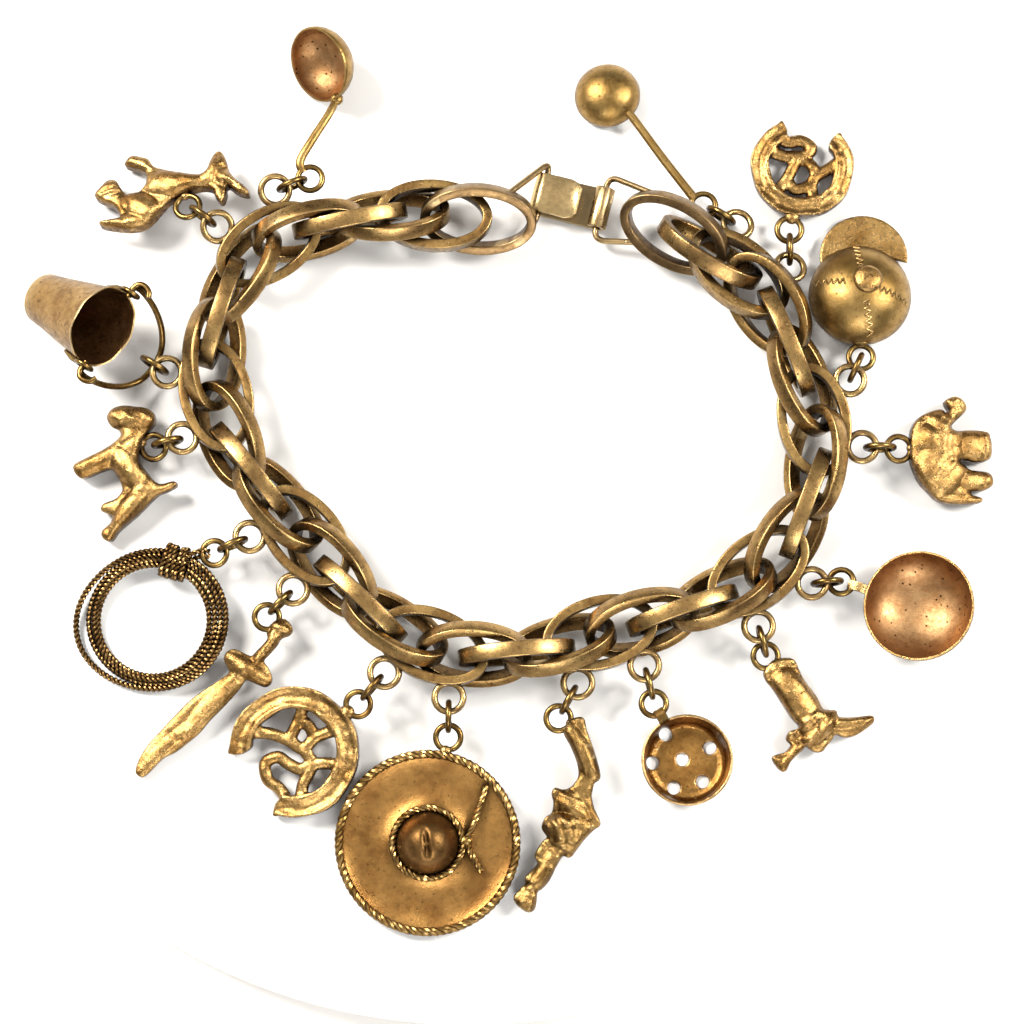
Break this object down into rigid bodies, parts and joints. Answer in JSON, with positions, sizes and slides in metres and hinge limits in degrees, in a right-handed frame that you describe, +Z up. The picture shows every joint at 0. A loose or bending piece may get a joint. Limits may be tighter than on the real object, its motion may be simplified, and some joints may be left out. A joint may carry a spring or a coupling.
{
  "type": "charm bracelet",
  "caption": "Closed chain bracelet of overlapping flat-sided oval links with a fold-over clasp; pairs of small cast and pressed charms hang from jump rings.",
  "frame": {"origin": "on the table, under the middle of the whole bracelet's box as it lies", "axes": "+Z up off the table; +X to the right and +Y away from the viewer as in the picture, with the clasp on the +Y side"},
  "size_m": [0.1104, 0.1042, 0.0125],
  "materials": {
    "boot_brass": "aged satin",
    "bucket_brass": "aged satin",
    "bail_brass": "aged satin",
    "cap_brass": "aged satin",
    "link_brass": "aged satin",
    "clasp_brass": "aged satin",
    "dagger_brass": "aged satin",
    "deep_ladle_brass": "aged satin",
    "elephant_brass": "aged satin",
    "end_ring_brass": "aged satin",
    "fox_brass": "aged satin",
    "horseshoe_1_brass": "aged satin",
    "horseshoe_2_brass": "aged satin",
    "lasso_brass": "aged satin",
    "revolver_brass": "aged satin",
    "saucepan_brass": "aged satin",
    "small_ladle_brass": "aged satin",
    "sombrero_brass": "aged satin",
    "strainer_brass": "aged satin",
    "terrier_brass": "aged satin"
  },
  "bodies": {
    "bracelet": {"boot": "boot_brass", "bucket_bail": "bail_brass", "cap": "cap_brass", "chain_link_01": "link_brass", "chain_link_02": "link_brass", "chain_link_03": "link_brass", "chain_link_04": "link_brass", "chain_link_05": "link_brass", "chain_link_06": "link_brass", "chain_link_07": "link_brass", "chain_link_08": "link_brass", "chain_link_09": "link_brass", "chain_link_10": "link_brass", "chain_link_11": "link_brass", "chain_link_12": "link_brass", "chain_link_13": "link_brass", "chain_link_14": "link_brass", "chain_link_15": "link_brass", "chain_link_16": "link_brass", "chain_link_17": "link_brass", "chain_link_18": "link_brass", "chain_link_19": "link_brass", "chain_link_20": "link_brass", "chain_link_21": "link_brass", "chain_link_22": "link_brass", "chain_link_23": "link_brass", "chain_link_24": "link_brass", "chain_link_25": "link_brass", "chain_link_26": "link_brass", "chain_link_27": "link_brass", "chain_link_28": "link_brass", "chain_link_29": "link_brass", "chain_link_30": "link_brass", "chain_link_31": "link_brass", "chain_link_32": "link_brass", "chain_link_33": "link_brass", "chain_link_34": "link_brass", "clasp_hook": "clasp_brass", "dagger": "dagger_brass", "deep_ladle": "deep_ladle_brass", "elephant": "elephant_brass", "end_ring_left": "end_ring_brass", "end_ring_right": "end_ring_brass", "fox": "fox_brass", "horseshoe_1": "horseshoe_1_brass", "horseshoe_2": "horseshoe_2_brass", "lasso": "lasso_brass", "revolver": "revolver_brass", "saucepan": "saucepan_brass", "small_ladle": "small_ladle_brass", "sombrero": "sombrero_brass", "strainer": "strainer_brass", "terrier": "terrier_brass"},
    "bucket": {"bucket": "bucket_brass"}
  },
  "joints": [
    {"name": "bucket_swing", "type": "hinge", "parent": "bracelet", "child": "bucket", "pos_m": [-0.04556, 0.01591, 0.0091], "axis": [-0.5299, -0.848, 0], "range_deg": [-210, 50]}
  ]
}
